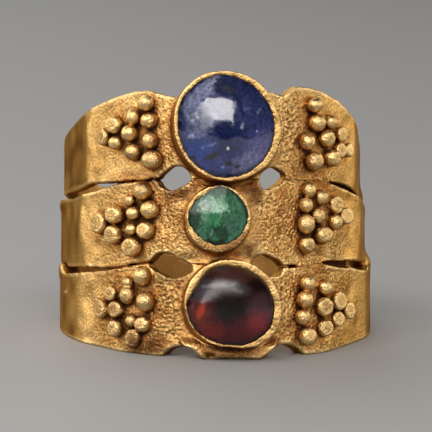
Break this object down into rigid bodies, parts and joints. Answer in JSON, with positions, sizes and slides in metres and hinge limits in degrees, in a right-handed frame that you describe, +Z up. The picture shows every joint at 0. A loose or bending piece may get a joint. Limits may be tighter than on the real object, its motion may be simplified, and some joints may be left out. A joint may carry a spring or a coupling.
{
  "type": "finger ring, triple band, set with three stones",
  "caption": "Wide gold finger ring of stacked soldered bands with granule triangles on the shoulders and round collets holding a blue, a green and a red stone at the front.",
  "frame": {"origin": "centre of the object's box at the height of the surface it rests on: the ring lies on its lower edge, leaning back a little as it does by itself", "axes": "+Z up from the resting surface, -Y towards the stones, +X to the right as seen facing the stones; the finger's axis lies in the YZ plane and leans 12.7 degrees from +Z towards +Y"},
  "size_m": [0.022, 0.0258, 0.0193],
  "materials": {
    "gold": "satin",
    "blue_gem": "polished",
    "green_gem": "satin",
    "red_gem": "polished"
  },
  "bodies": {
    "root": {"gold_bands": "gold", "blue_stone": "blue_gem", "green_stone": "green_gem", "red_stone": "red_gem"}
  },
  "joints": []
}
